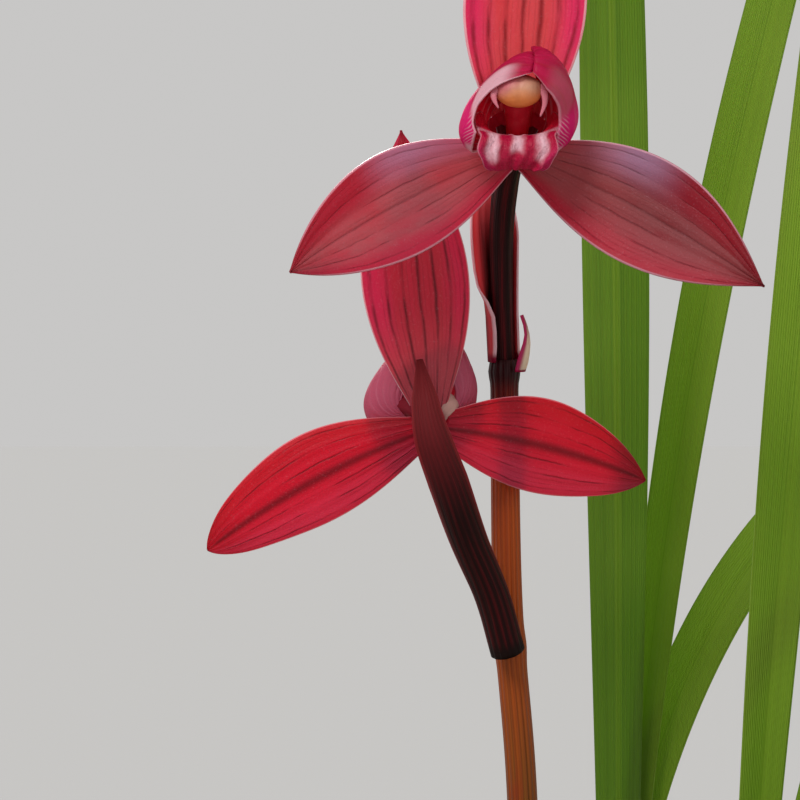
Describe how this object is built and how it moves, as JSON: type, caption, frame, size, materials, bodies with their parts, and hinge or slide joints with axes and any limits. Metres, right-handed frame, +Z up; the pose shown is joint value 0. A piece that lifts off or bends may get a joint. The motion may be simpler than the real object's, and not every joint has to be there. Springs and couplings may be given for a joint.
{
  "type": "potted cymbidium orchid",
  "caption": "Potted cymbidium orchid: red flowers with a hooded centre on one upright stem, narrow arching leaves in fans, and a round clay pot filled with bark.",
  "frame": {"origin": "middle of the pot's flat underside", "axes": "+Z up, the upper flower faces -Y, +X to the right as seen from in front of it"},
  "size_m": [0.3206, 0.328, 0.4661],
  "materials": {
    "pot": "matte",
    "potting_mix": "matte",
    "pseudobulb": "satin",
    "scape": "satin",
    "sheath": "satin",
    "stalk": "satin",
    "bract": "satin",
    "sepal": "satin",
    "petal": "satin",
    "lip": "satin",
    "column": "satin",
    "anther_cap": "satin",
    "leaf": "satin"
  },
  "bodies": {
    "root": {"pot": "pot", "potting_mix": "potting_mix", "pseudobulbs_and_roots": "pseudobulb", "scape": "scape", "scape_sheath_1": "sheath", "scape_sheath_2": "sheath", "scape_sheath_3": "sheath", "scape_tip": "sheath", "upper_dorsal_sepal": "sepal", "upper_left_sepal": "sepal", "upper_right_sepal": "sepal", "upper_left_petal": "petal", "upper_right_petal": "petal", "upper_lip": "lip", "upper_column": "column", "upper_anther_cap": "anther_cap", "upper_pedicel": "stalk", "upper_bract": "bract", "lower_dorsal_sepal": "sepal", "lower_left_sepal": "sepal", "lower_right_sepal": "sepal", "lower_left_petal": "petal", "lower_right_petal": "petal", "lower_lip": "lip", "lower_column": "column", "lower_anther_cap": "anther_cap", "lower_pedicel": "stalk", "lower_bract": "bract", "middle_leaf_1": "leaf", "middle_leaf_2": "leaf", "middle_leaf_3": "leaf", "middle_leaf_4": "leaf", "middle_leaf_5": "leaf", "middle_leaf_6": "leaf", "right_leaf_1": "leaf", "right_leaf_2": "leaf", "right_leaf_3": "leaf", "right_leaf_4": "leaf", "right_leaf_5": "leaf", "front_leaf_1": "leaf", "front_leaf_2": "leaf", "front_leaf_3": "leaf", "front_leaf_4": "leaf", "front_leaf_5": "leaf", "back_leaf_1": "leaf", "back_leaf_2": "leaf", "back_leaf_3": "leaf", "back_leaf_4": "leaf", "left_leaf_1": "leaf", "left_leaf_2": "leaf", "left_leaf_3": "leaf", "left_leaf_4": "leaf"}
  },
  "joints": []
}
